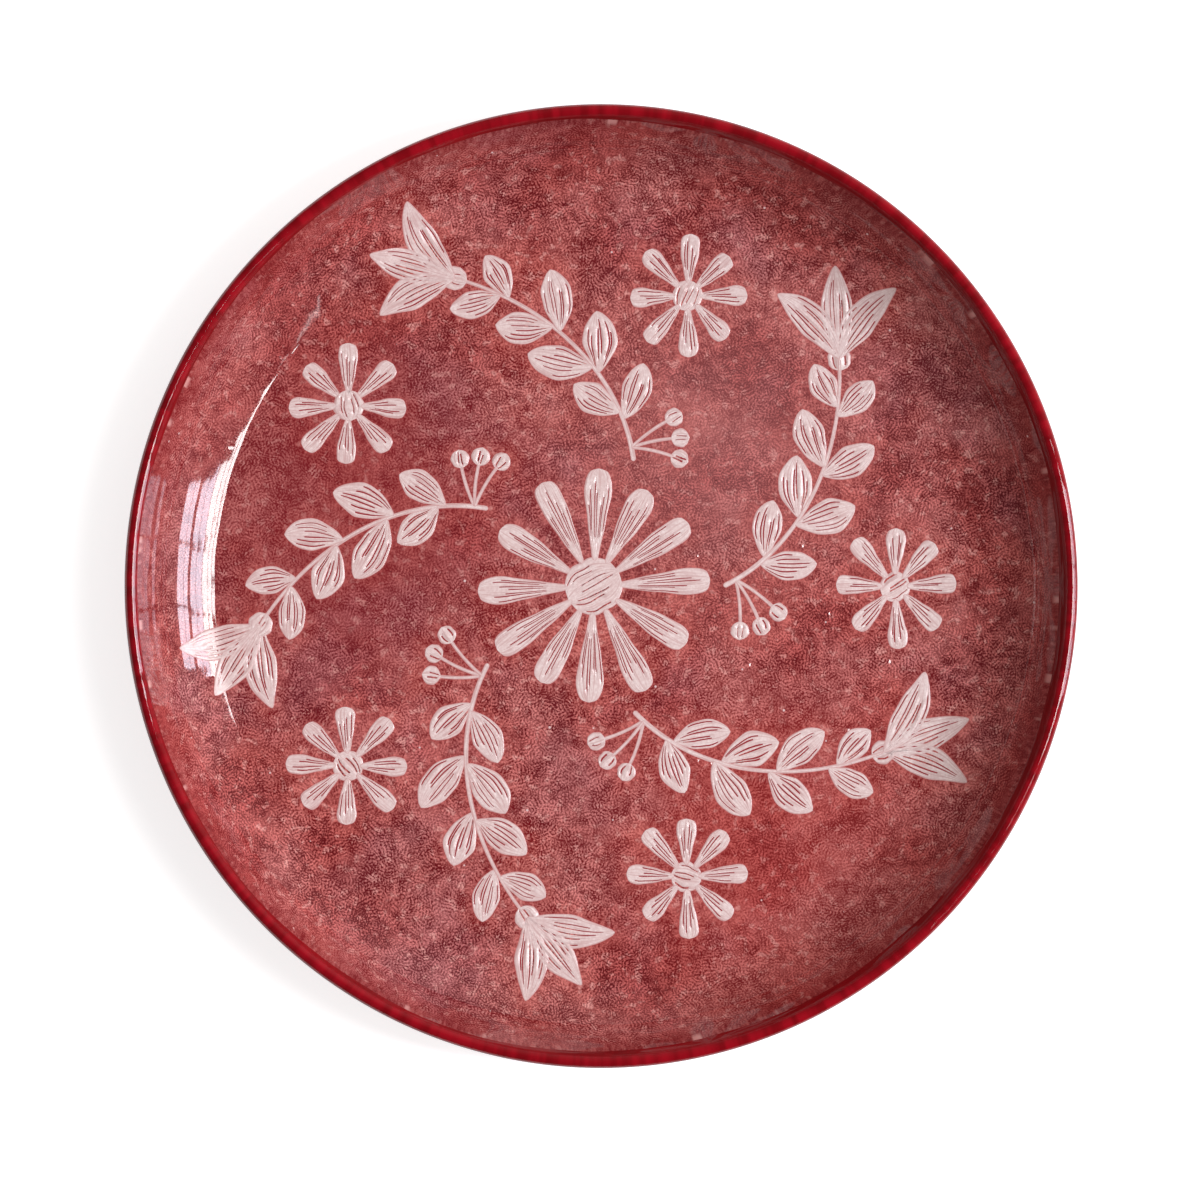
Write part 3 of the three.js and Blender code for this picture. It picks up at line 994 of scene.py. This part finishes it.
def seen_directly(tree):
    """1 for what the camera sees, also in a gloss or through a glass."""
    ray = add_node(tree, "ShaderNodeLightPath").outputs
    seen = counted(tree, "MAXIMUM", ray["Is Camera Ray"], ray["Is Glossy Ray"])
    return counted(tree, "MAXIMUM", seen, ray["Is Transmission Ray"])


lift = counted(tree, "MULTIPLY", seen_directly(tree), floor_glow)
tree.links.new(lift, shader.inputs["Emission Strength"])
shader.inputs["Emission Color"].default_value = pure_white
floor.data.materials.append(paper)

bright_side = math.radians(25)
dim_room = (0.26, 0.26, 0.26, 1)
lit_room = (1.25, 1.23, 1.2, 1)
gloss_dimming = 0.6

world = bpy.data.worlds.new("pale_room")
bpy.context.scene.world = world
world.use_nodes = True
tree = world.node_tree
direction = add_node(tree, "ShaderNodeTexCoord").outputs["Generated"]
up = add_node(tree, "ShaderNodeSeparateXYZ", {"Vector": direction}).outputs["Z"]
towards_window = add_node(
    tree, "ShaderNodeVectorMath",
    {0: direction, 1: (math.cos(bright_side), math.sin(bright_side), 0)}, operation="DOT_PRODUCT",
).outputs["Value"]
room = mixed(tree, ranged(tree, towards_window, 0.05, 0.95), dim_room, lit_room)

# A gloss shows the room dimmer than it lights the plate, and the horizon is seen as white
in_gloss = add_node(tree, "ShaderNodeLightPath").outputs["Is Glossy Ray"]
room = mixed(tree, counted(tree, "MULTIPLY", in_gloss, gloss_dimming), room, black)
horizon = counted(tree, "MULTIPLY", ranged(tree, up, 0.03, 0.09, 1, 0), seen_directly(tree))
tree.links.new(mixed(tree, horizon, room, pure_white), tree.nodes["Background"].inputs["Color"])

window_distance = 5
day_white = (1, 0.98, 0.98)
day_blue = (0.85, 0.86, 1)


def hang_pane(tilt, azimuth, tall, wide, glow, tint, turn=0.0):
    """A glowing pane that faces the plate. The angles are in degrees: tilt from straight up,
    azimuth from +X towards +Y, and tall and wide as the plate sees the pane."""
    aimed = (
        Matrix.Rotation(math.radians(azimuth), 3, "Z")
        @ Matrix.Rotation(math.radians(tilt), 3, "Y")
        @ Matrix.Rotation(math.radians(turn), 3, "Z")
    )
    bpy.ops.object.light_add(
        type="AREA", location=aimed.col[2] * window_distance, rotation=aimed.to_euler()
    )
    pane = bpy.context.object
    pane.data.shape = "RECTANGLE"
    pane.data.size = 2 * window_distance * math.tan(math.radians(tall) / 2)
    pane.data.size_y = 2 * window_distance * math.tan(math.radians(wide) / 2)
    pane.data.energy = glow * math.pi * pane.data.size * pane.data.size_y
    pane.data.color = tint
    pane.visible_camera = False


# The panes stand in rows of three, the lowest row first. Each pane spans the same azimuth, and
# the top row is one pane short.
pane_azimuths = (-8.2, -1.2, 5.8)
pane_azimuth_width = 6.6
for tilt, tall, panes, glow, tint in (
    (62, 10, 3, 12, day_blue),
    (53.5, 6, 3, 13, day_blue),
    (42.5, 8, 3, 14, day_blue),
    (34, 8, 3, 15, day_blue),
    (26, 7, 3, 20, day_white),
    (19.5, 5, 3, 20, day_white),
    (14.6, 3.8, 2, 20, day_white),
):
    for azimuth in pane_azimuths[:panes]:
        wide = pane_azimuth_width * math.sin(math.radians(tilt))
        hang_pane(tilt, azimuth, tall, wide, glow, tint)

# A slim gap beside the window throws the thin bright line along the cove
hang_pane(tilt=25.7, azimuth=-29.6, tall=22.4, wide=0.3, glow=6, tint=day_white, turn=-16.8)

view_tilt = math.radians(8.7)
camera_distance = 4
frame_width = 0.3358
sensor_width = 36
plate_right_of_middle = 0.00127
plate_above_middle = 0.0039
right = np.array([math.cos(view_tilt), 0, math.sin(view_tilt)])
towards_camera = np.array([-math.sin(view_tilt), 0, math.cos(view_tilt)])
aim = np.array([0, -plate_above_middle, plate_height]) - plate_right_of_middle * right
bpy.ops.object.camera_add(
    location=aim + camera_distance * towards_camera, rotation=(0, -view_tilt, 0)
)
camera = bpy.context.object
camera.data.sensor_width = sensor_width
camera.data.lens = sensor_width * camera_distance / frame_width
bpy.context.scene.camera = camera
bpy.context.scene.view_settings.view_transform = "Standard"
